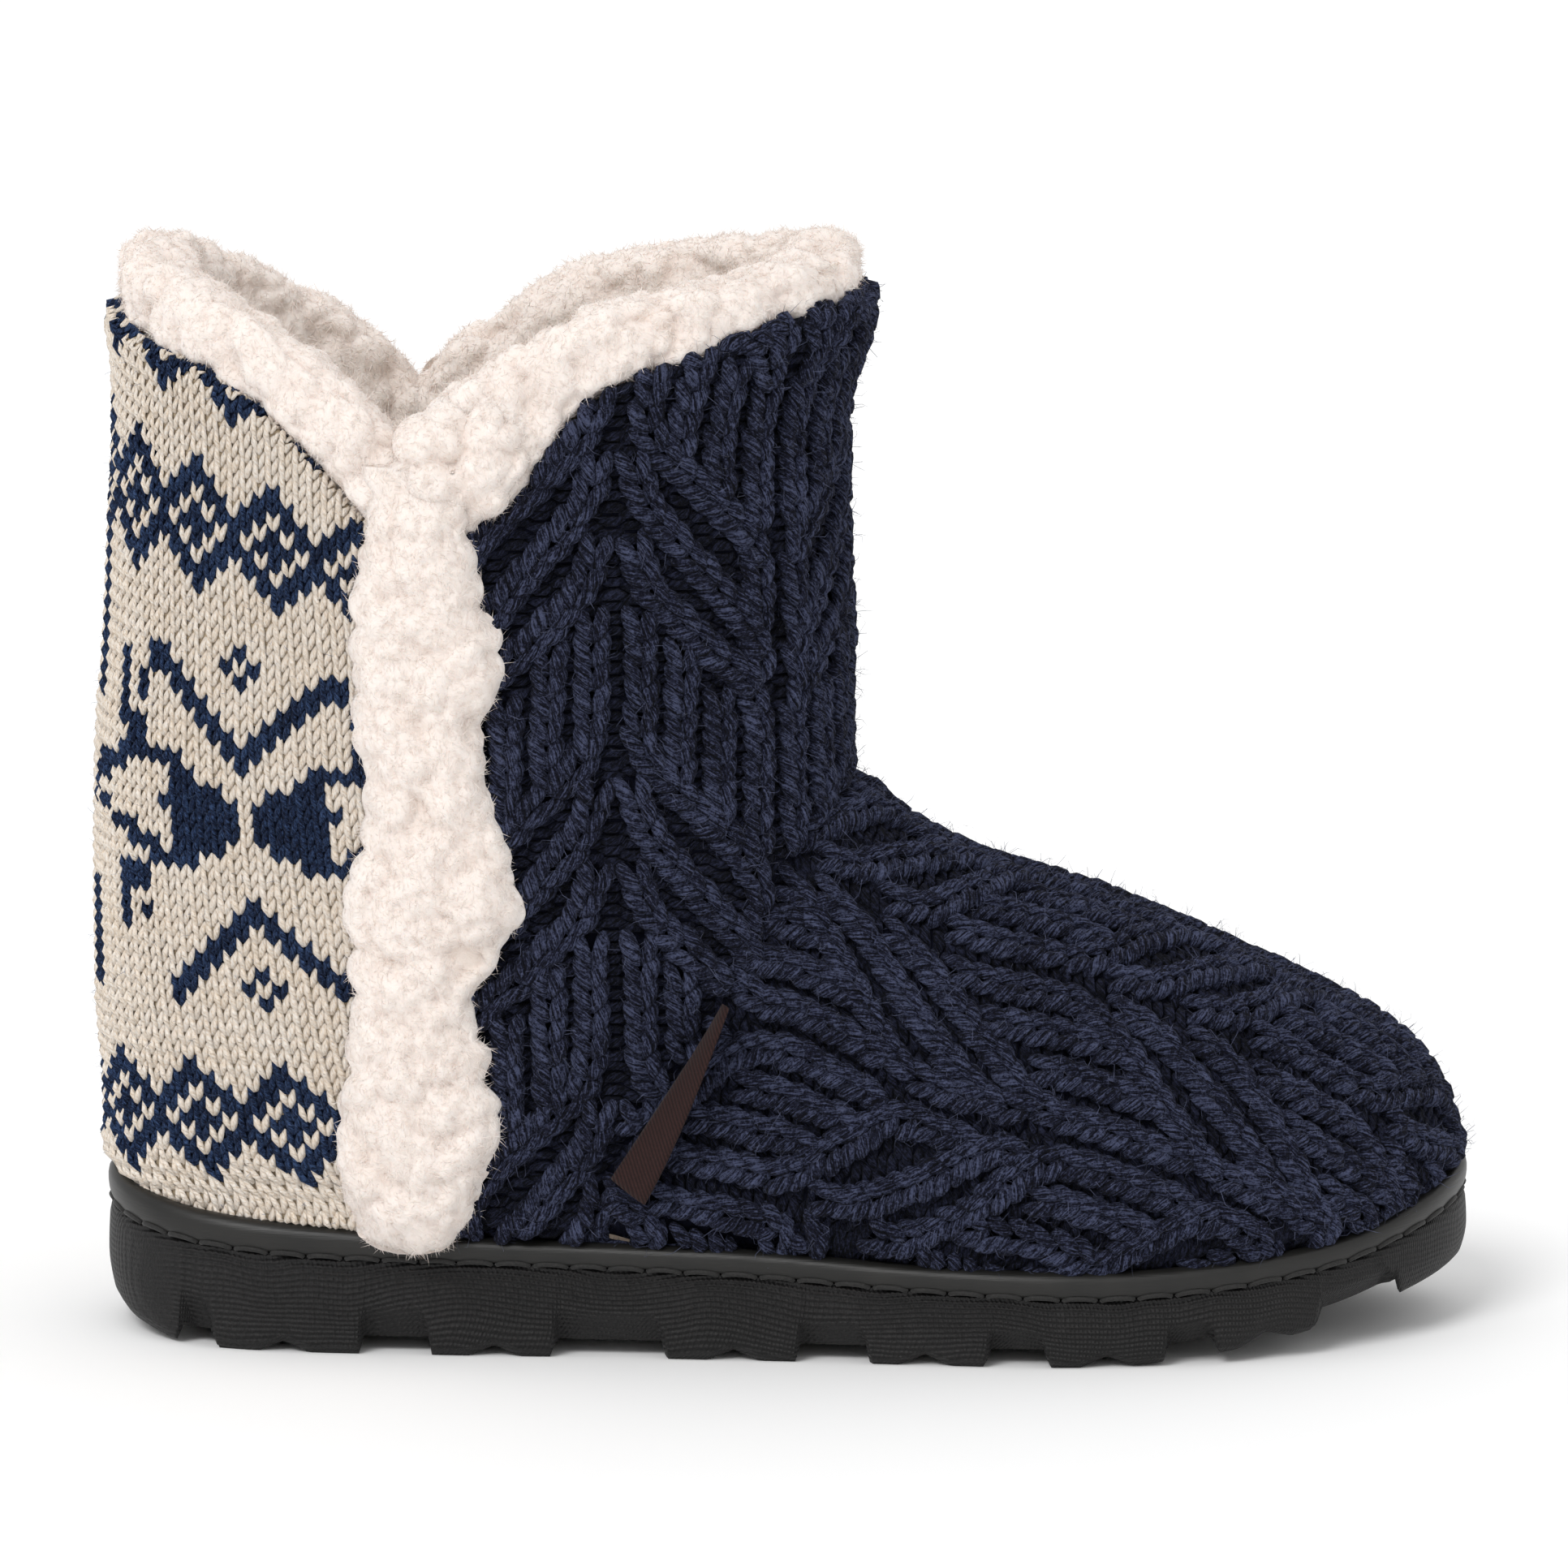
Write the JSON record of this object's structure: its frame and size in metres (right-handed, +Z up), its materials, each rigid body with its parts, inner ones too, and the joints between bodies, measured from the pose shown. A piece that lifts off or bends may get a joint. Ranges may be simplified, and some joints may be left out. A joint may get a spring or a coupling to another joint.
{
  "type": "slipper boot",
  "caption": "Short knitted slipper boot for the right foot, fleece lined, with a rolled collar notched at both sides and a lugged sole.",
  "frame": {"origin": "on the floor under the middle of the boot", "axes": "+X from the heel to the toe, +Y to the inner (medial) side, +Z up"},
  "size_m": [0.2721, 0.106, 0.217],
  "materials": {
    "outsole_rubber": "matt black moulded foam rubber with fine lengthwise lines",
    "rand_wrap": "soft satin black wrapped strip",
    "knit": "chunky navy cable knit, with a cream and navy patterned back panel",
    "fleece": "curled cream fleece",
    "label_ribbon": "dark brown woven ribbon, blank"
  },
  "bodies": {
    "root": {"outsole": "outsole_rubber", "rand": "rand_wrap", "insole": "fleece", "upper": "knit", "collar_roll_front": "fleece", "collar_roll_back": "fleece", "side_strip_outer": "fleece", "side_strip_inner": "fleece", "label_tab": "label_ribbon"}
  },
  "joints": []
}
